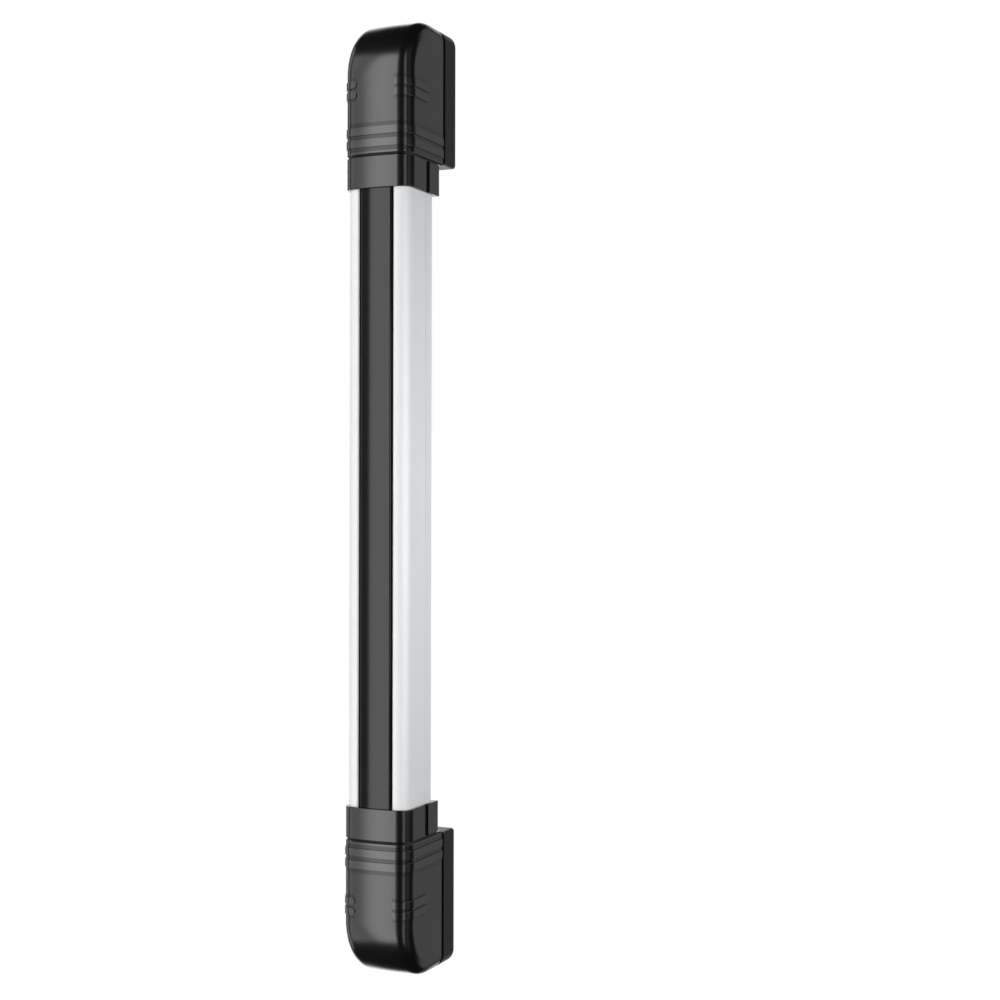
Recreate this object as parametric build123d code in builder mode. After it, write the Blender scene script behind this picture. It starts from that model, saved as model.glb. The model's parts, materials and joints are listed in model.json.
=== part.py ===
from build123d import *
import os

# An upright infrared beam detector bar for a wall, in millimetres.
# Z runs along the bar with the origin at half its length, the wall is the plane Y = 0,
# and the window looks along -Y. The upper and lower ends are mirror images.

# Lengths that make up the whole bar
extrusion_length = 250.0
gasket_thickness = 1.0
cover_height = 52.5
cover_depth = 29.5
base_depth = 8.9
parting_gap = 2.0

# Aluminium section
profile_width = 24.7
profile_depth = 22.6
profile_wall = 1.4
profile_front_radius = 4.0
profile_rear_radius = 1.5
window_opening = 14.0
opening_chamfer = 0.5
rib_thickness = 1.0
card_rib_reach = 1.6
board_rear_gap = 3.2
port_radius = 2.3
port_bore_radius = 1.2
port_inset = 1.5
port_overlap = 0.3

# Window strip and its two seals
flange_thickness = 1.6
flange_overlap = 1.6
flange_hold = 1.2
window_crown = 0.45
window_edge_radius = 0.5
window_proud = 0.1
seal_width = 0.7
seal_recess = 0.35
slide_clearance = 0.1

# Collars and end plates of the two brackets
collar_wall = 1.4
collar_rear_wall = 3.6
collar_height = 12.1
collar_rear_radius = 1.8
collar_heel_radius = 1.6
collar_clearance = 0.15
crown_relief = 0.1
groove_width = 3.2
groove_depth = 0.7
groove_distance = 23.9
channel_depth = 0.3
plate_thickness = 2.4
plate_gap = 0.1
mouth_radius = 0.3

# Form of the end covers
side_radius = 5.4
nose_radius = 22.5
crown_radius = 75.0
cover_wall = 2.0
seam_chamfer = 0.6
relief = 0.35
edge_margin = 0.2
band_height = 2.9
band_level = 2.9
band_pitch = 4.5
band_count = 2
finger_rib_height = 2.7
finger_rib_level = 21.2
finger_rib_pitch = 3.8
finger_rib_count = 2
finger_rib_start = 7.6
finger_rib_end_radius = 1.3
finger_rib_back = 24.0
snap_level = 26.0
snap_length = 7.0
snap_height = 0.9
snap_reach = 0.7
snap_setback = 0.4

# Wall bases
base_floor = 2.6
base_seam_gap = 0.8
base_end_radius = 1.2
lip_thickness = 1.2
lip_height = 2.5
lip_clearance = 0.15
pillar_height = 8.0
pillar_radius = 3.0
pillar_level = 16.5
pillar_pitch = 19.0
wall_hole_radius = 2.1
wall_hole_level = 8.0
wall_hole_pitch = 36.0
cable_level = 26.0
cable_hole_radius = 4.5

# Rear tongue of a bracket
tongue_thickness = 2.4
tongue_height = 42.0
tongue_side_gap = 0.4
tongue_corner_radius = 3.0
cable_window_width = 11.0
cable_window_height = 11.0
cable_window_radius = 2.0
gusset_size = 7.0
gusset_thickness = 1.6

# Screws
screw_clearance = 0.3
plate_screw_radius = 1.1
plate_screw_reach = 7.0
plate_screw_head_radius = 2.1
plate_screw_head_height = 1.5
bracket_screw_radius = 1.2
bracket_screw_reach = 6.0
bracket_screw_head_radius = 2.6
bracket_screw_head_height = 1.8
pillar_bore_radius = 1.3
drive_slot_width = 0.6
drive_slot_depth = 0.7

# Circuit board
board_thickness = 1.6
board_side_gap = 0.15
board_top_gap = 3.0
board_shoulder_gap = 3.0
board_tail_width = 18.4
board_tail_reach = 34.0
board_slot_clearance = 0.2

# Optics, one set for each beam
beam_end_distance = 45.0
holder_front_gap = 0.4
holder_radius = 6.4
holder_foot_length = 18.0
holder_foot_thickness = 1.6
holder_foot_width = 12.8
lens_radius = 5.5
lens_rim = 1.2
lens_crown = 1.8
lens_recess = 0.2
lens_clearance = 0.1
lens_ledge = 0.5
emitter_radius = 2.5
emitter_flange_radius = 2.9
emitter_flange_height = 1.0
emitter_height = 7.0
emitter_clearance = 0.2

# Small parts on the board
light_end_distance = 20.0
light_radius = 1.5
light_flange_radius = 1.9
light_flange_height = 0.8
light_height = 4.6
chip_size = 9.0
chip_height = 1.5
chip_lead_width = 0.45
chip_lead_length = 1.1
chip_lead_height = 0.6
chip_lead_pitch = 1.1
chip_leads_per_side = 7
capacitor_across = 5.2
capacitor_level = 10.5
capacitor_radius = 3.15
capacitor_height = 11.0
capacitor_crimp_height = 1.6
capacitor_crimp_depth = 0.35
header_across = -4.4
header_level = 10.5
header_height = 2.5
pin_pitch = 2.54
pin_width = 0.64
pin_height = 8.4
pin_columns = 3
pin_rows = 2
cap_height = 5.8
cap_wall = 0.35
cap_side = 2.3
pin_clearance = 0.08

# Terminal block at the foot of the board
terminal_ways = 5
terminal_pitch = 3.5
terminal_level = 24.0
terminal_height = 8.0
terminal_depth = 9.0
terminal_step = 3.0
terminal_cheek = 0.3
terminal_screw_radius = 1.15
terminal_screw_length = 2.2
terminal_bore_clearance = 0.15
terminal_bore_depth = 3.6
terminal_mouth_width = 2.4
terminal_mouth_height = 2.8
terminal_mouth_depth = 4.0

# Cable grommet in the lower wall base
grommet_bore_radius = 3.0
grommet_flange_radius = 5.6
grommet_flange_thickness = 1.3
grommet_clearance = 0.1
grommet_recess = 0.2

# Planes across the depth, from the wall at zero towards the front
base_front = -base_depth
cover_back = base_front - parting_gap
cover_front = cover_back - cover_depth
profile_front = cover_front + collar_wall
profile_back = profile_front + profile_depth
collar_back = profile_back + collar_rear_wall
tongue_back = -(base_floor + pillar_height)
tongue_front = tongue_back - tongue_thickness
flange_front = profile_front + profile_wall + slide_clearance
flange_back = flange_front + flange_thickness
window_rib_front = flange_back + slide_clearance
window_rib_back = window_rib_front + rib_thickness
board_back = profile_back - profile_wall - board_rear_gap
board_front = board_back - board_thickness

# Half widths
half_profile = profile_width / 2
half_cover = half_profile + collar_wall
half_cavity = half_profile - profile_wall
half_flange = window_opening / 2 + flange_overlap
half_window = window_opening / 2 - seal_width
plate_inset = cover_wall + lip_clearance
lip_inset = plate_inset + lip_thickness
port_x = half_cavity - port_inset
port_y = window_rib_back + port_radius - port_overlap

# Heights above the middle of the bar
extrusion_end = extrusion_length / 2
seam = extrusion_end + gasket_thickness
tip = seam + cover_height
collar_mouth = seam - collar_height
plate_top = seam + plate_thickness
base_end = seam + base_seam_gap
outer_beam = extrusion_end - beam_end_distance
chip_level = -outer_beam / 2
light_level = -(extrusion_end - light_end_distance)
board_tail_end = -(seam + board_tail_reach)
board_shoulder = -(extrusion_end - board_shoulder_gap)

crown_middle = cover_front + crown_radius
window_crown_front = profile_front - window_proud - window_crown
port_locations = [(-port_x, port_y), (port_x, port_y)]
pillar_levels = [seam + pillar_level, seam + pillar_level + pillar_pitch]
wall_hole_levels = [seam + wall_hole_level, seam + wall_hole_level + wall_hole_pitch]


def plan_outline(half, front, back, front_radius, rear_radius):
    """Outline seen along the bar: a rectangle with its own front and rear corner radii."""
    with BuildSketch() as outline:
        with Locations((0, (front + back) / 2)):
            Rectangle(2 * half, back - front)
        fillet(outline.vertices().group_by(Axis.Y)[0], front_radius)
        fillet(outline.vertices().group_by(Axis.Y)[-1], rear_radius)
    return outline.sketch


def profile_outline():
    """Outer outline of the aluminium section."""
    return plan_outline(half_profile, profile_front, profile_back, profile_front_radius, profile_rear_radius)


def crowned_outline(inset, back, rear_radius):
    """Outline of the mouldings seen along the bar, moved in by inset, with a crowned front."""
    half = half_cover - inset
    with BuildSketch() as outline:
        with Locations((0, crown_middle)):
            Circle(crown_radius - inset)
        with Locations((0, back)):
            Rectangle(2 * half, 2 * cover_depth, align=(Align.CENTER, Align.MAX), mode=Mode.INTERSECT)
        fillet(outline.vertices().group_by(Axis.Y)[0], side_radius - inset)
        fillet(outline.vertices().group_by(Axis.Y)[-1], rear_radius)
    return outline.sketch


def nose_block(inset, bottom, back):
    """Domed end form with every outer face moved in by inset, cut off at bottom and back."""
    front = cover_front + inset
    top = tip - inset
    with BuildPart() as block:
        # Side view swung about the crown's axis, then cut to the width and the back
        with BuildSketch(Plane.YZ) as side_view:
            with Locations((front, bottom)):
                Rectangle(2 * cover_depth, top - bottom, align=Align.MIN)
            front_corners = side_view.vertices().group_by(Axis.X)[0]
            fillet(front_corners.sort_by(Axis.Y)[-1], nose_radius - inset)
        revolve(axis=Axis((0, crown_middle, 0), (0, 0, 1)))
        with BuildSketch(Plane.XY.offset(bottom)):
            with Locations((0, back)):
                Rectangle(2 * (half_cover - inset), 2 * cover_depth, align=(Align.CENTER, Align.MAX))
        extrude(amount=top - bottom, mode=Mode.INTERSECT)
        side_edges = block.faces().filter_by(Axis.X).edges()
        above_cut = side_edges.filter_by(lambda edge: edge.center().Z > bottom + edge_margin)
        before_cut = above_cut.filter_by(lambda edge: edge.center().Y < back - edge_margin)
        fillet(before_cut, side_radius - inset)
    return block.part


def wall_outline(inset, bottom):
    """Outline seen from the front: square at the seam end, rounded at the tip."""
    top = tip - inset
    with BuildSketch() as outline:
        with Locations((0, (bottom + top) / 2)):
            Rectangle(2 * (half_cover - inset), top - bottom)
        fillet(outline.vertices().group_by(Axis.Y)[-1], side_radius - inset)
    return outline.sketch


# Aluminium extrusion, open at the front for the window strip
with BuildPart() as housing_extrusion:
    with BuildSketch(Plane.XY.offset(-extrusion_end)):
        add(profile_outline())
        add(
            plan_outline(
                half_cavity,
                profile_front + profile_wall,
                profile_back - profile_wall,
                profile_front_radius - profile_wall,
                profile_rear_radius - profile_wall / 2,
            ),
            mode=Mode.SUBTRACT,
        )
        # Rear walls of the window grooves
        rib_reach = half_cavity - half_flange + flange_hold
        for side in (-1, 1):
            with Locations((side * (half_cavity - rib_reach / 2), (window_rib_front + window_rib_back) / 2)):
                Rectangle(rib_reach, rib_thickness)
        # Card grooves
        for groove_wall in (
            board_front - slide_clearance - rib_thickness / 2,
            board_back + slide_clearance + rib_thickness / 2,
        ):
            for side in (-1, 1):
                with Locations((side * (half_cavity - card_rib_reach / 2), groove_wall)):
                    Rectangle(card_rib_reach, rib_thickness)
        # Screw ports
        with Locations(*port_locations):
            Circle(port_radius)
        with Locations(*port_locations):
            Circle(port_bore_radius, mode=Mode.SUBTRACT)
        # Window slot and the shallow channels along the sides
        with Locations((0, profile_front + profile_wall / 2)):
            Rectangle(window_opening, profile_wall, mode=Mode.SUBTRACT)
        for side in (-1, 1):
            with Locations((side * (half_profile - channel_depth / 2), -groove_distance)):
                Rectangle(channel_depth, groove_width, mode=Mode.SUBTRACT)
    extrude(amount=extrusion_length)
    front_edges = housing_extrusion.edges().filter_by(Axis.Z).group_by(Axis.Y)[0]
    chamfer(front_edges.sort_by(lambda edge: abs(edge.center().X))[:2], opening_chamfer)

# Window strip: a crowned face in the slot on a wider flange behind the lips
with BuildPart() as front_window:
    with BuildSketch(Plane.XY.offset(-extrusion_end)) as strip:
        with BuildLine():
            ThreePointArc(
                (-half_window, profile_front - window_proud),
                (0, window_crown_front),
                (half_window, profile_front - window_proud),
            )
            Polyline(
                (half_window, profile_front - window_proud),
                (half_window, flange_front),
                (half_flange - slide_clearance, flange_front),
                (half_flange - slide_clearance, flange_back),
                (slide_clearance - half_flange, flange_back),
                (slide_clearance - half_flange, flange_front),
                (-half_window, flange_front),
                (-half_window, profile_front - window_proud),
            )
        make_face()
        fillet(strip.vertices().group_by(Axis.Y)[0], window_edge_radius)
    extrude(amount=extrusion_length)

# Rubber seals between the window strip and the lips of its slot
window_seals = {}
for side, place in ((-1, "left"), (1, "right")):
    with BuildPart() as window_seal:
        with BuildSketch(Plane.XY.offset(-extrusion_end)):
            seal_front = profile_front + seal_recess
            with Locations((side * (half_window + seal_width / 2), (seal_front + flange_front) / 2)):
                Rectangle(seal_width - slide_clearance, flange_front - seal_front)
        extrude(amount=extrusion_length)
    window_seals[place] = window_seal.part


def end_bracket(board_passes):
    """Collar, end plate and rear tongue in one moulding, for the upper end."""
    tongue_half = half_cover - lip_inset - tongue_side_gap
    tongue_top = seam + tongue_height
    with BuildPart() as bracket:
        # Collar around the end of the extrusion
        with BuildSketch(Plane.XY.offset(collar_mouth)):
            add(crowned_outline(0, collar_back, collar_rear_radius))
        extrude(amount=collar_height)
        chamfer(bracket.faces().sort_by(Axis.Z)[-1].edges(), seam_chamfer)
        fillet(bracket.faces().sort_by(Axis.Z)[0].edges(), mouth_radius)
        # Rounded heel at the lower rear edge of the collar
        with BuildSketch(Plane.YZ) as heel:
            with Locations(((cover_front + collar_back) / 2, (collar_mouth + seam) / 2)):
                Rectangle(collar_back - cover_front, collar_height)
            lower_corners = heel.vertices().group_by(Axis.Y)[0]
            fillet(lower_corners.sort_by(Axis.X)[-1], collar_heel_radius)
        extrude(amount=half_cover, both=True, mode=Mode.INTERSECT)
        # End plate that closes the mouth of the cover
        with BuildSketch(Plane.XY.offset(seam)):
            add(crowned_outline(plate_inset, base_front - plate_gap, collar_rear_radius))
        extrude(amount=plate_thickness)
        # Tongue that is screwed to the wall base
        with BuildSketch(Plane.XZ.offset(-tongue_back)) as tongue:
            with Locations((0, (seam + tongue_top) / 2)):
                Rectangle(2 * tongue_half, tongue_height)
            fillet(tongue.vertices().group_by(Axis.Y)[-1], tongue_corner_radius)
            with Locations(*[(0, level) for level in pillar_levels]):
                Circle(bracket_screw_radius + screw_clearance, mode=Mode.SUBTRACT)
            with Locations((0, seam + cable_level)):
                RectangleRounded(
                    cable_window_width, cable_window_height, cable_window_radius, mode=Mode.SUBTRACT
                )
        extrude(amount=tongue_thickness)
        # Gussets between the tongue and the end plate
        for side in (-1, 1):
            with BuildSketch(Plane.YZ.offset(side * (tongue_half - gusset_thickness / 2))):
                with BuildLine():
                    Polyline(
                        (tongue_front, plate_top),
                        (tongue_front - gusset_size, plate_top),
                        (tongue_front, plate_top + gusset_size),
                        close=True,
                    )
                make_face()
            extrude(amount=gusset_thickness / 2, both=True)
        # Pocket for the extrusion, with room for the crowned window
        with BuildSketch(Plane.XY.offset(collar_mouth)):
            add(
                plan_outline(
                    half_profile + collar_clearance,
                    profile_front - collar_clearance,
                    profile_back + collar_clearance,
                    profile_front_radius + collar_clearance,
                    profile_rear_radius + collar_clearance,
                )
            )
            relief_front = window_crown_front - crown_relief
            with Locations((0, (relief_front + profile_front) / 2)):
                Rectangle(window_opening, profile_front - relief_front)
        extrude(amount=collar_height, mode=Mode.SUBTRACT)
        # Grooves down the sides of the collar
        with BuildSketch(Plane.XY.offset(collar_mouth)):
            for side in (-1, 1):
                with Locations((side * (half_cover - groove_depth / 2), -groove_distance)):
                    Rectangle(groove_depth, groove_width)
        extrude(amount=collar_height, mode=Mode.SUBTRACT)
        # Screw holes over the extrusion's ports, and the slot for the circuit board
        with BuildSketch(Plane.XY.offset(seam)):
            with Locations(*port_locations):
                Circle(plate_screw_radius + screw_clearance)
            if board_passes:
                with Locations((0, (board_front + board_back) / 2)):
                    Rectangle(
                        board_tail_width + 2 * board_slot_clearance,
                        board_thickness + 2 * board_slot_clearance,
                    )
        extrude(amount=plate_thickness, mode=Mode.SUBTRACT)
    return bracket.part


def end_gasket(board_passes):
    """Rubber sheet between the end of the extrusion and the end plate, for the upper end."""
    with BuildPart() as gasket:
        with BuildSketch(Plane.XY.offset(extrusion_end)):
            add(profile_outline())
            with Locations(*port_locations):
                Circle(plate_screw_radius + screw_clearance, mode=Mode.SUBTRACT)
            if board_passes:
                with Locations((0, (board_front + board_back) / 2)):
                    Rectangle(
                        board_tail_width + 2 * board_slot_clearance,
                        board_thickness + 2 * board_slot_clearance,
                        mode=Mode.SUBTRACT,
                    )
        extrude(amount=gasket_thickness)
    return gasket.part


# Brackets and gaskets, the lower ones with a slot for the board
with BuildPart() as upper_bracket:
    add(end_bracket(board_passes=False))
with BuildPart() as lower_bracket:
    mirror(end_bracket(board_passes=True), about=Plane.XY)
with BuildPart() as upper_gasket:
    add(end_gasket(board_passes=False))
with BuildPart() as lower_gasket:
    mirror(end_gasket(board_passes=True), about=Plane.XY)

# Raised ring bands, and short finger ribs that wrap the front corners
with BuildPart() as raised_marks:
    for band in range(band_count):
        with BuildSketch(Plane.XY.offset(seam + band_level + band * band_pitch)):
            with Locations((0, (cover_front + cover_back) / 2)):
                Rectangle(2 * (half_cover + cover_wall), cover_depth + 2 * cover_wall)
        extrude(amount=band_height)
    for rib in range(finger_rib_count):
        with BuildSketch(Plane.XY.offset(seam + finger_rib_level + rib * finger_rib_pitch)):
            for side in (-1, 1):
                rib_across = side * (finger_rib_start + half_cover / 2)
                with Locations((rib_across, -(finger_rib_back + cover_depth / 2))):
                    Rectangle(half_cover, cover_depth)
        extrude(amount=finger_rib_height)
    across_edges = raised_marks.edges().filter_by(Axis.Y)
    rib_ends = across_edges.filter_by(lambda edge: abs(edge.center().X) < finger_rib_start + edge_margin)
    fillet(rib_ends, finger_rib_end_radius)
    add(nose_block(-relief, seam, cover_back), mode=Mode.INTERSECT)

# End cover: a domed shell, open at the wall and at the seam
with BuildPart() as upper_cover:
    add(nose_block(0, seam, cover_back))
    seam_edges = upper_cover.faces().sort_by(Axis.Z)[0].edges()
    chamfer(seam_edges.filter_by(lambda edge: edge.center().Y < cover_back - edge_margin), seam_chamfer)
    add(raised_marks.part)
    add(nose_block(cover_wall, seam - cover_wall, cover_back + cover_wall), mode=Mode.SUBTRACT)
    # Snap noses inside the side walls
    for side in (-1, 1):
        snap_middle = half_cover - cover_wall - snap_reach / 2
        with BuildSketch(Plane.XZ.offset(-cover_back + snap_setback)):
            with Locations((side * snap_middle, seam + snap_level)):
                Rectangle(snap_reach, snap_length)
        extrude(amount=snap_height)
with BuildPart() as lower_cover:
    mirror(upper_cover.part, about=Plane.XY)

# Wall base: a shallow tray with a locating lip for the cover and pillars for the tongue
with BuildPart() as upper_wall_base:
    with BuildSketch(Plane.XZ):
        add(wall_outline(0, base_end))
    extrude(amount=base_depth)
    foot = upper_wall_base.faces().sort_by(Axis.Z)[0]
    fillet(foot.edges().filter_by(Axis.Y), base_end_radius)
    # Locating lip behind the parting gap
    with BuildSketch(Plane.XZ.offset(base_depth)):
        add(wall_outline(plate_inset, plate_top + lip_clearance))
    extrude(amount=parting_gap + lip_height)
    with BuildSketch(Plane.XZ.offset(base_floor)):
        add(wall_outline(lip_inset, base_end + lip_inset))
    extrude(amount=base_depth + parting_gap + lip_height - base_floor, mode=Mode.SUBTRACT)
    with BuildSketch(Plane.XZ.offset(base_depth)):
        add(wall_outline(lip_inset, seam))
    extrude(amount=parting_gap + lip_height, mode=Mode.SUBTRACT)
    # Windows in the lip for the snap noses
    with BuildSketch(Plane.XZ.offset(-cover_back + snap_setback - lip_clearance)):
        with Locations((0, seam + snap_level)):
            Rectangle(2 * (half_cover - plate_inset), snap_length + 2 * lip_clearance)
    extrude(amount=snap_height + 2 * lip_clearance, mode=Mode.SUBTRACT)
    # Pillars with pilot bores, and the holes for the wall screws
    with BuildSketch(Plane.XZ.offset(base_floor)):
        with Locations(*[(0, level) for level in pillar_levels]):
            Circle(pillar_radius)
            Circle(pillar_bore_radius, mode=Mode.SUBTRACT)
    extrude(amount=pillar_height)
    with BuildSketch(Plane.XZ):
        with Locations(*[(0, level) for level in wall_hole_levels]):
            Circle(wall_hole_radius)
    extrude(amount=base_floor, mode=Mode.SUBTRACT)
with BuildPart() as lower_wall_base:
    mirror(upper_wall_base.part, about=Plane.XY)
    with BuildSketch(Plane.XZ):
        with Locations((0, -(seam + cable_level))):
            Circle(cable_hole_radius)
    extrude(amount=base_floor, mode=Mode.SUBTRACT)

# Rubber grommet in the cable hole, turned about the hole's axis
with BuildPart() as cable_grommet:
    grommet_front = -(base_floor + grommet_flange_thickness)
    with BuildSketch(Plane.XY):
        with BuildLine():
            Polyline(
                (grommet_bore_radius, -grommet_recess),
                (cable_hole_radius - grommet_clearance, -grommet_recess),
                (cable_hole_radius - grommet_clearance, -base_floor),
                (grommet_flange_radius, -base_floor),
                (grommet_flange_radius, grommet_front),
                (grommet_bore_radius, grommet_front),
                close=True,
            )
        make_face()
    revolve(axis=Axis.Y)
cable_grommet.part.locate(Location((0, 0, -(seam + cable_level))))


def screw(shank_radius, reach, head_radius, head_height):
    """Pan-head screw with its seat at the origin, shank down and a driver slot in the head."""
    with BuildPart() as body:
        with BuildSketch(Plane.XZ):
            with BuildLine():
                Polyline(
                    (0, head_height),
                    (0, -reach),
                    (shank_radius, -reach),
                    (shank_radius, 0),
                    (head_radius, 0),
                )
                TangentArc((0, head_height), (head_radius, 0), tangent=(1, 0))
            make_face()
        revolve(axis=Axis.Z)
        with Locations((0, 0, head_height)):
            Box(2 * head_radius, drive_slot_width, 2 * drive_slot_depth, mode=Mode.SUBTRACT)
    return body.part


# Screws through both end plates into the extrusion
plate_screw = screw(plate_screw_radius, plate_screw_reach, plate_screw_head_radius, plate_screw_head_height)
with BuildPart() as end_plate_screws:
    for x, y in port_locations:
        add(plate_screw.moved(Location((x, y, plate_top))))
        add(plate_screw.moved(Location((x, y, -plate_top), (180, 0, 0))))

# Screws through the tongues into the wall bases
bracket_screw = screw(
    bracket_screw_radius, bracket_screw_reach, bracket_screw_head_radius, bracket_screw_head_height
)
with BuildPart() as bracket_screws:
    for level in pillar_levels:
        for end in (-1, 1):
            add(bracket_screw.moved(Location((0, tongue_front, end * level), (90, 0, 0))))

# Circuit board: wide in the card grooves, narrower where it passes into the lower cover
board_top = extrusion_end - board_top_gap
with BuildPart() as main_board:
    with BuildSketch(Plane.XZ.offset(-board_back)):
        with Locations((0, (board_top + board_shoulder) / 2)):
            Rectangle(2 * (half_cavity - board_side_gap), board_top - board_shoulder)
        with Locations((0, (board_shoulder + board_tail_end) / 2)):
            Rectangle(board_tail_width, board_shoulder - board_tail_end)
    extrude(amount=board_thickness)

# Face of the board, with the small parts placed by across and level
board_face = Plane.XZ.offset(-board_front)
holder_depth = board_front - flange_back - holder_front_gap
lens_seat = holder_depth - lens_recess - lens_crown - lens_rim


def optical_barrel(level):
    """Moulded barrel on the board that carries one lens over its emitter."""
    cone_foot = emitter_flange_radius + emitter_clearance
    with BuildPart() as barrel:
        with BuildSketch(board_face):
            with Locations((0, level)):
                Rectangle(holder_foot_width, holder_foot_length)
        extrude(amount=holder_foot_thickness)
        with BuildSketch(board_face):
            with Locations((0, level)):
                Circle(holder_radius)
        extrude(amount=holder_depth)
        with BuildSketch(board_face):
            with Locations((0, level)):
                Circle(cone_foot)
        with BuildSketch(board_face.offset(lens_seat)):
            with Locations((0, level)):
                Circle(lens_radius - lens_ledge)
        loft(mode=Mode.SUBTRACT)
        with BuildSketch(board_face.offset(lens_seat)):
            with Locations((0, level)):
                Circle(lens_radius + lens_clearance)
        extrude(amount=holder_depth - lens_seat, mode=Mode.SUBTRACT)
    return barrel.part


def beam_lens(level):
    """Plano-convex lens, turned about its own axis, flat side on the barrel's ledge."""
    with BuildPart() as glass:
        with BuildSketch(Plane.XZ):
            with BuildLine():
                Polyline((0, lens_rim + lens_crown), (0, 0), (lens_radius, 0), (lens_radius, lens_rim))
                TangentArc((0, lens_rim + lens_crown), (lens_radius, lens_rim), tangent=(1, 0))
            make_face()
        revolve(axis=Axis.Z)
    return glass.part.moved(Location((0, board_front - lens_seat, level), (90, 0, 0)))


def round_diode(radius, flange_radius, flange_height, height):
    """Domed diode with a flange at its foot, standing along +Z."""
    shoulder = height - radius
    with BuildPart() as diode:
        with BuildSketch(Plane.XZ):
            with BuildLine():
                Polyline(
                    (0, height),
                    (0, 0),
                    (flange_radius, 0),
                    (flange_radius, flange_height),
                    (radius, flange_height),
                    (radius, shoulder),
                )
                TangentArc((radius, shoulder), (0, height), tangent=(0, 1))
            make_face()
        revolve(axis=Axis.Z)
    return diode.part


# One barrel, lens and emitter for each beam
emitter = round_diode(emitter_radius, emitter_flange_radius, emitter_flange_height, emitter_height)
optics = {}
for name, level in (("upper", outer_beam), ("middle", 0), ("lower", -outer_beam)):
    with BuildPart() as lens_holder:
        add(optical_barrel(level))
    with BuildPart() as lens:
        add(beam_lens(level))
    with BuildPart() as beam_emitter:
        add(emitter.moved(Location((0, board_front, level), (90, 0, 0))))
    optics[f"lens_holder_{name}"] = lens_holder.part
    optics[f"lens_{name}"] = lens.part
    optics[f"emitter_{name}"] = beam_emitter.part

# Indicator light near the foot of the window
with BuildPart() as indicator_light:
    light = round_diode(light_radius, light_flange_radius, light_flange_height, light_height)
    add(light.moved(Location((0, board_front, light_level), (90, 0, 0))))

# Controller chip with a row of leads down each side
with BuildPart() as control_chip:
    with BuildSketch(board_face):
        with Locations((0, chip_level)):
            Rectangle(chip_size, chip_size)
    extrude(amount=chip_height)
    with BuildSketch(board_face):
        for side in (-1, 1):
            with Locations((side * (chip_size + chip_lead_length) / 2, chip_level)):
                with GridLocations(0, chip_lead_pitch, 1, chip_leads_per_side):
                    Rectangle(chip_lead_length, chip_lead_width)
    extrude(amount=chip_lead_height)

# Supply capacitor in the lower cover, with the crimp above its foot
capacitor_z = -(seam + capacitor_level)
with BuildPart() as filter_capacitor:
    with BuildSketch(Plane.XZ):
        with BuildLine():
            Polyline(
                (0, capacitor_height),
                (0, 0),
                (capacitor_radius, 0),
                (capacitor_radius, capacitor_crimp_height),
                (capacitor_radius - capacitor_crimp_depth, capacitor_crimp_height + capacitor_crimp_depth),
                (capacitor_radius, capacitor_crimp_height + 2 * capacitor_crimp_depth),
                (capacitor_radius, capacitor_height - capacitor_crimp_depth),
                (capacitor_radius - capacitor_crimp_depth, capacitor_height),
                close=True,
            )
        make_face()
    revolve(axis=Axis.Z)
capacitor_seat = Location((capacitor_across, board_front, capacitor_z), (90, 0, 0))
filter_capacitor.part.locate(capacitor_seat)

# Jumper header and the two shunts on its outer columns
header_middle = (header_across, -(seam + header_level))
with BuildPart() as jumper_header:
    with BuildSketch(board_face):
        with Locations(header_middle):
            Rectangle(pin_columns * pin_pitch, pin_rows * pin_pitch)
    extrude(amount=header_height)
    with BuildSketch(board_face):
        with Locations(header_middle):
            with GridLocations(pin_pitch, pin_pitch, pin_columns, pin_rows):
                Rectangle(pin_width, pin_width)
    extrude(amount=pin_height)
with BuildPart() as jumper_caps:
    column_span = (pin_columns - 1) * pin_pitch
    with BuildSketch(board_face.offset(header_height)):
        with Locations(header_middle):
            with GridLocations(column_span, 0, 2, 1):
                Rectangle(cap_side, pin_rows * pin_pitch - cap_wall)
            with GridLocations(column_span, pin_pitch, 2, pin_rows):
                Rectangle(pin_width + 2 * pin_clearance, pin_width + 2 * pin_clearance, mode=Mode.SUBTRACT)
    extrude(amount=pin_height - header_height + pin_clearance)
    with BuildSketch(board_face.offset(pin_height + pin_clearance)):
        with Locations(header_middle):
            with GridLocations(column_span, 0, 2, 1):
                Rectangle(cap_side, pin_rows * pin_pitch - cap_wall)
    extrude(amount=cap_wall)

# Terminal block: a stepped body with a screw well and a wire mouth for each way
terminal_middle = -(seam + terminal_level)
terminal_width = terminal_ways * terminal_pitch + 2 * terminal_cheek
with BuildPart() as terminal_block:
    with BuildSketch(board_face):
        with Locations((0, terminal_middle)):
            Rectangle(terminal_width, terminal_height)
    extrude(amount=terminal_depth)
    front_face = terminal_block.faces().sort_by(Axis.Y)[0]
    chamfer(front_face.edges().filter_by(Axis.X), length=terminal_step / 2)
    with BuildSketch(board_face.offset(terminal_depth - terminal_bore_depth)):
        with Locations((0, terminal_middle)):
            with GridLocations(terminal_pitch, 0, terminal_ways, 1):
                Circle(terminal_screw_radius + terminal_bore_clearance)
    extrude(amount=terminal_bore_depth, mode=Mode.SUBTRACT)
    foot_plane = Plane.XY.offset(terminal_middle - terminal_height / 2)
    with BuildSketch(foot_plane):
        with Locations((0, board_front - (terminal_mouth_height + terminal_step) / 2)):
            with GridLocations(terminal_pitch, 0, terminal_ways, 1):
                Rectangle(terminal_mouth_width, terminal_mouth_height)
    extrude(amount=terminal_mouth_depth, mode=Mode.SUBTRACT)
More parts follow.
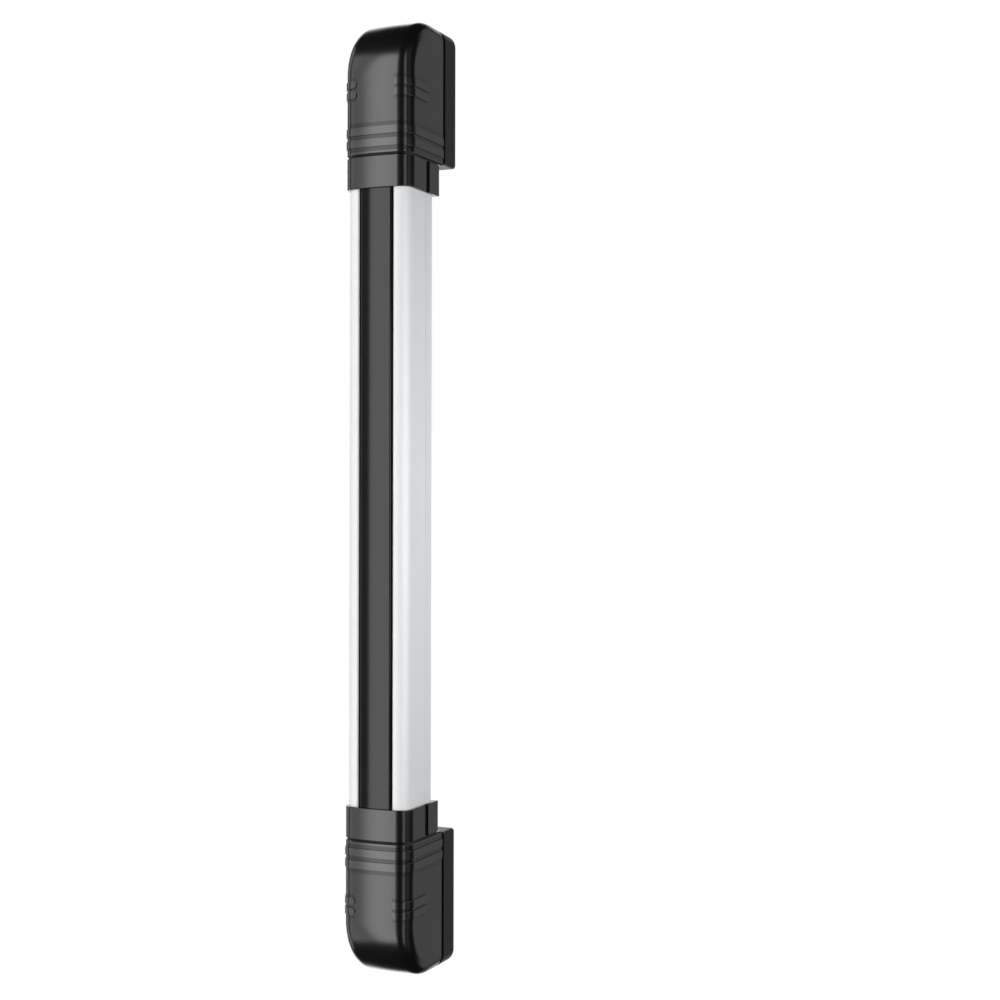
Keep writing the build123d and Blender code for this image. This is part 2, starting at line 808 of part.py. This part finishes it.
with BuildPart() as terminal_screws:
    well_floor = board_face.offset(terminal_depth - terminal_bore_depth)
    with BuildSketch(well_floor):
        with Locations((0, terminal_middle)):
            with GridLocations(terminal_pitch, 0, terminal_ways, 1):
                Circle(terminal_screw_radius)
    extrude(amount=terminal_screw_length)
    with BuildSketch(well_floor.offset(terminal_screw_length - drive_slot_depth)):
        with Locations((0, terminal_middle)):
            with GridLocations(terminal_pitch, 0, terminal_ways, 1):
                Rectangle(drive_slot_width, 2 * terminal_screw_radius)
    extrude(amount=drive_slot_depth, mode=Mode.SUBTRACT)

# Every piece under its own name
pieces = {
    "housing_extrusion": housing_extrusion.part,
    "front_window": front_window.part,
    "window_seal_left": window_seals["left"],
    "window_seal_right": window_seals["right"],
    "upper_bracket": upper_bracket.part,
    "lower_bracket": lower_bracket.part,
    "upper_gasket": upper_gasket.part,
    "lower_gasket": lower_gasket.part,
    "upper_cover": upper_cover.part,
    "lower_cover": lower_cover.part,
    "upper_wall_base": upper_wall_base.part,
    "lower_wall_base": lower_wall_base.part,
    "end_plate_screws": end_plate_screws.part,
    "bracket_screws": bracket_screws.part,
    "cable_grommet": cable_grommet.part,
    "main_board": main_board.part,
    "indicator_light": indicator_light.part,
    "control_chip": control_chip.part,
    "filter_capacitor": filter_capacitor.part,
    "jumper_header": jumper_header.part,
    "jumper_caps": jumper_caps.part,
    "terminal_block": terminal_block.part,
    "terminal_screws": terminal_screws.part,
    **optics,
}
os.makedirs("parts", exist_ok=True)
for name, piece in pieces.items():
    piece.label = name
    export_step(piece, f"parts/{name}.step")
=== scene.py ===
import json
import math

import bmesh
import bpy
from mathutils import Matrix, Vector


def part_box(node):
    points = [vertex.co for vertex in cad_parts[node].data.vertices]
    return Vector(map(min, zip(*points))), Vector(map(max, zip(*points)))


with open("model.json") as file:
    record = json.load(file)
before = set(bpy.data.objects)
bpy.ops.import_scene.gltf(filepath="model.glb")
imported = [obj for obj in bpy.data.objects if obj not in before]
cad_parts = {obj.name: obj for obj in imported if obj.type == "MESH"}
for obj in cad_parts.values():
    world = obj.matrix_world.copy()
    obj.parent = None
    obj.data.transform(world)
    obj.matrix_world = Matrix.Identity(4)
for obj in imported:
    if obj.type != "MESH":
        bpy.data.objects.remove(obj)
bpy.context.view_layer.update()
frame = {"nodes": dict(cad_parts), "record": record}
nodes = frame["nodes"]
scene = bpy.context.scene

# What all finishes share, with lengths in metres
grain_detail = 3.0
cloud_detail = 4.0
roughness_swing = 1.5
relief_depth = 0.0002
usual_edge_radius = 0.0003
edge_samples = 6


def noise(tree, place, scale, detail):
    """Noise between 0 and 1, at that scale per metre."""
    texture = tree.nodes.new("ShaderNodeTexNoise")
    texture.inputs["Scale"].default_value = scale
    texture.inputs["Detail"].default_value = detail
    tree.links.new(place, texture.inputs["Vector"])
    return texture.outputs["Fac"]


def varied(tree, factor, middle, swing):
    """The middle value, lowered and raised by up to that share of it as the factor goes from 0 to 1."""
    ramp = tree.nodes.new("ShaderNodeMapRange")
    ramp.inputs["To Min"].default_value = middle * (1.0 - swing)
    ramp.inputs["To Max"].default_value = middle * (1.0 + swing)
    tree.links.new(factor, ramp.inputs["Value"])
    return ramp.outputs["Result"]


def finish(
    slot,
    color,
    roughness,
    spread,
    grain,
    cloud,
    bump,
    metallic=0.0,
    shine=0.5,
    clearness=0.0,
    ior=1.5,
    edge_radius=usual_edge_radius,
    stretch=(1.0, 1.0, 1.0),
):
    """A material with clouded colour, a fine grain in its roughness and relief, and softened edges.

    The spread is how far colour and roughness vary, and grain and cloud are noise scales per metre.
    """
    material = bpy.data.materials.new(slot + "_finish")
    material.use_nodes = True
    tree = material.node_tree
    link = tree.links.new
    shader = tree.nodes["Principled BSDF"]
    shader.inputs["Metallic"].default_value = metallic
    shader.inputs["Specular IOR Level"].default_value = shine
    shader.inputs["Transmission Weight"].default_value = clearness
    shader.inputs["IOR"].default_value = ior

    place = tree.nodes.new("ShaderNodeNewGeometry").outputs["Position"]
    stretched = tree.nodes.new("ShaderNodeVectorMath")
    stretched.operation = "MULTIPLY"
    stretched.inputs[1].default_value = stretch
    link(place, stretched.inputs[0])
    fine = noise(tree, stretched.outputs[0], grain, grain_detail)
    wide = noise(tree, place, cloud, cloud_detail)

    tint = tree.nodes.new("ShaderNodeMix")
    tint.data_type = "RGBA"
    tint.blend_type = "MULTIPLY"
    tint.inputs["Factor"].default_value = 1.0
    tint.inputs["A"].default_value = (*color, 1.0)
    link(varied(tree, wide, 1.0, spread), tint.inputs["B"])
    link(tint.outputs["Result"], shader.inputs["Base Color"])
    link(varied(tree, fine, roughness, roughness_swing * spread), shader.inputs["Roughness"])

    soften = tree.nodes.new("ShaderNodeBevel")
    soften.samples = edge_samples
    soften.inputs["Radius"].default_value = edge_radius
    relief = tree.nodes.new("ShaderNodeBump")
    relief.inputs["Strength"].default_value = bump
    relief.inputs["Distance"].default_value = relief_depth
    link(fine, relief.inputs["Height"])
    link(soften.outputs["Normal"], relief.inputs["Normal"])
    link(relief.outputs["Normal"], shader.inputs["Normal"])
    return material


# One finish for each material slot of the part
finish_settings = {
    "satin_aluminium": dict(
        color=(0.84, 0.85, 0.865), roughness=0.68, spread=0.02, grain=1400.0, cloud=20.0, bump=0.08,
        metallic=0.42, stretch=(1.0, 1.0, 0.04),
    ),
    "black_housing": dict(
        color=(0.0045, 0.0045, 0.005), roughness=0.24, spread=0.08, grain=1500.0, cloud=60.0, bump=0.04,
        shine=0.7, edge_radius=0.00006,
    ),
    "black_base": dict(
        color=(0.008, 0.008, 0.0085), roughness=0.42, spread=0.08, grain=1600.0, cloud=60.0, bump=0.08,
        shine=0.34,
    ),
    "window_plastic": dict(
        color=(0.0015, 0.0015, 0.002), roughness=0.14, spread=0.04, grain=700.0, cloud=30.0, bump=0.01,
        shine=0.34,
    ),
    "seal_rubber": dict(
        color=(0.002, 0.002, 0.002), roughness=0.8, spread=0.1, grain=2000.0, cloud=80.0, bump=0.1,
        shine=0.1,
    ),
    "board_laminate": dict(
        color=(0.015, 0.14, 0.05), roughness=0.4, spread=0.1, grain=1500.0, cloud=90.0, bump=0.05,
    ),
    "lens_resin": dict(
        color=(0.92, 0.94, 0.96), roughness=0.05, spread=0.02, grain=900.0, cloud=60.0, bump=0.01,
        clearness=0.9, ior=1.49,
    ),
    "emitter_resin": dict(
        color=(0.03, 0.02, 0.07), roughness=0.15, spread=0.05, grain=1200.0, cloud=90.0, bump=0.02,
    ),
    "light_resin": dict(
        color=(0.42, 0.02, 0.015), roughness=0.2, spread=0.05, grain=1200.0, cloud=90.0, bump=0.02,
    ),
    "barrel_plastic": dict(
        color=(0.02, 0.02, 0.022), roughness=0.6, spread=0.1, grain=1500.0, cloud=90.0, bump=0.1,
    ),
    "chip_plastic": dict(
        color=(0.02, 0.02, 0.02), roughness=0.6, spread=0.1, grain=2500.0, cloud=90.0, bump=0.1,
    ),
    "capacitor_sleeve": dict(
        color=(0.015, 0.02, 0.06), roughness=0.3, spread=0.06, grain=1200.0, cloud=90.0, bump=0.03,
    ),
    "header_plastic": dict(
        color=(0.015, 0.015, 0.015), roughness=0.5, spread=0.1, grain=1500.0, cloud=90.0, bump=0.08,
    ),
    "cap_plastic": dict(
        color=(0.03, 0.06, 0.28), roughness=0.45, spread=0.08, grain=1500.0, cloud=90.0, bump=0.06,
    ),
    "terminal_plastic": dict(
        color=(0.02, 0.18, 0.06), roughness=0.45, spread=0.08, grain=1500.0, cloud=90.0, bump=0.06,
    ),
    "screw_steel": dict(
        color=(0.55, 0.55, 0.56), roughness=0.32, spread=0.06, grain=1800.0, cloud=120.0, bump=0.06,
        metallic=1.0,
    ),
}
finishes = {slot: finish(slot, **settings) for slot, settings in finish_settings.items()}

# The covers' ring bands and finger ribs, in metres: levels above the seam, the ribs' start from the
# middle plane, and their back end along Y
cover_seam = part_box("upper_cover")[0].z
band_level = 0.0029
band_height = 0.0029
band_pitch = 0.0045
band_count = 2
rib_level = 0.0212
rib_height = 0.0027
rib_pitch = 0.0038
rib_count = 2
rib_start = 0.0078
rib_back = -0.024
# Specular level raised as painted highlight on the bands and ribs, and lowered as painted shade in their
# grooves
painted_highlight = 0.17
painted_groove_shade = -0.37


def paint_highlight_and_groove_shade(material):
    """Paints highlight on the bands and ribs and shade in the grooves beside them, in the specular
    level.
    """
    tree = material.node_tree

    def calculated(operation, first, second=0.0, third=0.0):
        """The result of a math node on numbers or sockets."""
        node = tree.nodes.new("ShaderNodeMath")
        node.operation = operation
        for socket, value in zip(node.inputs, (first, second, third)):
            if isinstance(value, float):
                socket.default_value = value
            else:
                tree.links.new(value, socket)
        return node.outputs[0]

    def ridges(height, start, level, ridge, pitch, count):
        """The painted highlight and groove shade, as a change of specular level above a start height,
        where each ridge is followed by a groove.
        """
        above = calculated("GREATER_THAN", height, start)
        inside = calculated("MULTIPLY", above, calculated("LESS_THAN", height, level + count * pitch))
        phase = calculated("FRACT", calculated("DIVIDE", calculated("SUBTRACT", height, level), pitch))
        groove = calculated("GREATER_THAN", phase, ridge / pitch)
        # Painted shade in the grooves, painted highlight on the ridges
        change = calculated("MULTIPLY_ADD", groove, painted_groove_shade, painted_highlight)
        return calculated("MULTIPLY", inside, change)

    place = tree.nodes.new("ShaderNodeNewGeometry")
    split = tree.nodes.new("ShaderNodeSeparateXYZ")
    tree.links.new(place.outputs["Position"], split.inputs[0])
    height = calculated("SUBTRACT", calculated("ABSOLUTE", split.outputs["Z"]), cover_seam)
    bands = ridges(height, 0.0, band_level, band_height, band_pitch, band_count)
    groove_below = rib_level - (rib_pitch - rib_height)
    ribs = ridges(height, groove_below, rib_level, rib_height, rib_pitch, rib_count)
    beside = calculated("GREATER_THAN", calculated("ABSOLUTE", split.outputs["X"]), rib_start)
    before = calculated("LESS_THAN", split.outputs["Y"], rib_back)
    ribs = calculated("MULTIPLY", ribs, calculated("MULTIPLY", beside, before))
    sheen = tree.nodes["Principled BSDF"].inputs["Specular IOR Level"]
    tree.links.new(calculated("ADD", calculated("ADD", bands, ribs), sheen.default_value), sheen)


# Painted highlight on the housing's bands and ribs and painted shade in their grooves
paint_highlight_and_groove_shade(finishes["black_housing"])

for entry in frame["record"]["subparts"]:
    mesh = nodes[entry["node"]].data
    mesh.materials.clear()
    mesh.materials.append(finishes[entry["material_slot"]])

# Camera, fitted to the outline of the bar in the photo
focal_px = 1700.0
sensor_mm = 36.0
image_px = 1000.0
azimuth = math.radians(23.658)
roll = math.radians(0.117)
camera_place = Vector((0.29230, -0.59222, -0.00054))
back = Vector((math.sin(azimuth), -math.cos(azimuth), 0.0))
right = Vector((math.cos(azimuth), math.sin(azimuth), 0.0))
up = Vector((0.0, 0.0, 1.0))
turn = Matrix((right, up, back)).transposed().to_4x4()
camera_data = bpy.data.cameras.new("camera")
camera_data.sensor_width = sensor_mm
camera_data.lens = focal_px * sensor_mm / image_px
camera = bpy.data.objects.new("camera", camera_data)
camera.matrix_world = Matrix.Translation(camera_place) @ turn @ Matrix.Rotation(roll, 4, "Z")
scene.collection.objects.link(camera)
scene.camera = camera

# Soft panels around the bar, in metres and degrees, where azimuth 0 is the front
panel_distance = 1.2
panel_height = 2.6


def panel(name, azimuth_deg, width, watts_per_area, height=panel_height, distance=panel_distance):
    """An upright soft panel at that azimuth, level with the bar's middle and facing it."""
    angle = math.radians(azimuth_deg)
    away = Vector((math.sin(angle), -math.cos(angle), 0.0))
    light_data = bpy.data.lights.new(name, "AREA")
    light_data.shape = "RECTANGLE"
    light_data.size = width
    light_data.size_y = height
    light_data.energy = watts_per_area * width * height
    light = bpy.data.objects.new(name, light_data)
    facing = away.to_track_quat("Z", "Y").to_matrix().to_4x4()
    light.matrix_world = Matrix.Translation(away * distance) @ facing
    light.visible_camera = False
    scene.collection.objects.link(light)


panel("key", -21.3, width=0.5, watts_per_area=10.8)
panel("front_fill", -1.0, width=0.2, watts_per_area=1.0)
panel("left_fill", -52.0, width=0.55, watts_per_area=4.4)
panel("left_rim", -90.0, width=0.4, watts_per_area=4.5)
panel("right_strip", 51.0, width=0.28, watts_per_area=5.2)
panel("right_fill", 84.0, width=0.4, watts_per_area=0.8)
panel("right_middle", 82.0, width=0.4, watts_per_area=9.6, height=0.2, distance=0.3)
panel("back_right", 150.0, width=0.5, watts_per_area=1.3)
panel("back_left", -140.0, width=0.6, watts_per_area=4.0)

# Surroundings, in metres and degrees: white behind the bar, a pale floor below it, dark cards round it
white = (1.0, 1.0, 1.0, 1.0)
white_strength = 1.0
dim_strength = 0.03
floor_color = (0.8, 0.8, 0.8, 1.0)
floor_roughness = 0.9
floor_level = -1.4
floor_reach = 20.0
card_color = (0.02, 0.02, 0.02, 1.0)
card_roughness = 1.0
card_radius = 1.6
card_sides = 96
card_clearance = 0.04
opening_start = 178.0
opening_end = 235.0


def link_by_ray(tree, usual, shown, output):
    """Links the usual shader to the output, and the shown one for rays that look at the background."""
    path = tree.nodes.new("ShaderNodeLightPath")
    looking = path.outputs["Is Camera Ray"]
    for kind in ("Is Glossy Ray", "Is Transmission Ray"):
        either = tree.nodes.new("ShaderNodeMath")
        either.operation = "MAXIMUM"
        tree.links.new(looking, either.inputs[0])
        tree.links.new(path.outputs[kind], either.inputs[1])
        looking = either.outputs[0]
    choice = tree.nodes.new("ShaderNodeMixShader")
    tree.links.new(looking, choice.inputs["Fac"])
    tree.links.new(usual, choice.inputs[1])
    tree.links.new(shown, choice.inputs[2])
    tree.links.new(choice.outputs[0], output.inputs["Surface"])


def plain(name, color, roughness):
    """A plain material of that colour and roughness."""
    material = bpy.data.materials.new(name)
    material.use_nodes = True
    shader = material.node_tree.nodes["Principled BSDF"]
    shader.inputs["Base Color"].default_value = color
    shader.inputs["Roughness"].default_value = roughness
    return material


def staged(name, shape, material):
    """A piece of the studio from that bmesh."""
    mesh = bpy.data.meshes.new(name)
    shape.to_mesh(mesh)
    shape.free()
    mesh.materials.append(material)
    piece = bpy.data.objects.new(name, mesh)
    scene.collection.objects.link(piece)
    return piece


def make_world():
    """A world that is white to look at and lights the bar dimly."""
    world = bpy.data.worlds.new("world")
    scene.world = world
    world.use_nodes = True
    tree = world.node_tree
    tree.nodes.clear()
    shades = []
    for strength in (dim_strength, white_strength):
        shade = tree.nodes.new("ShaderNodeBackground")
        shade.inputs["Color"].default_value = white
        shade.inputs["Strength"].default_value = strength
        shades.append(shade.outputs[0])
    link_by_ray(tree, *shades, tree.nodes.new("ShaderNodeOutputWorld"))


def make_floor():
    """A pale floor that is as white as the world to look at."""
    paper = plain("floor_paper", floor_color, floor_roughness)
    tree = paper.node_tree
    glow = tree.nodes.new("ShaderNodeEmission")
    glow.inputs["Color"].default_value = white
    glow.inputs["Strength"].default_value = white_strength
    pale = tree.nodes["Principled BSDF"].outputs["BSDF"]
    link_by_ray(tree, pale, glow.outputs["Emission"], tree.nodes["Material Output"])
    shape = bmesh.new()
    bmesh.ops.create_grid(shape, x_segments=1, y_segments=1, size=floor_reach)
    staged("floor", shape, paper).location.z = floor_level


def make_cards():
    """Dark cards round the bar, open straight behind it. Glossy rays see them and the camera doesn't."""
    height = 2.0 * (-floor_level - card_clearance)
    shape = bmesh.new()
    bmesh.ops.create_cone(
        shape, cap_ends=True, segments=card_sides, radius1=card_radius, radius2=card_radius, depth=height
    )
    opening = []
    for face in shape.faces:
        direction = math.degrees(math.atan2(face.normal.x, -face.normal.y)) % 360.0
        is_side = abs(face.normal.z) < face.normal.xy.length
        if is_side and opening_start < direction < opening_end:
            opening.append(face)
    bmesh.ops.delete(shape, geom=opening, context="FACES")
    cards = staged("dark_cards", shape, plain("dark_card", card_color, card_roughness))
    cards.visible_camera = False
    cards.visible_transmission = False
    cards.visible_shadow = False


make_world()
make_floor()
make_cards()
bpy.context.scene.view_settings.view_transform = "Standard"
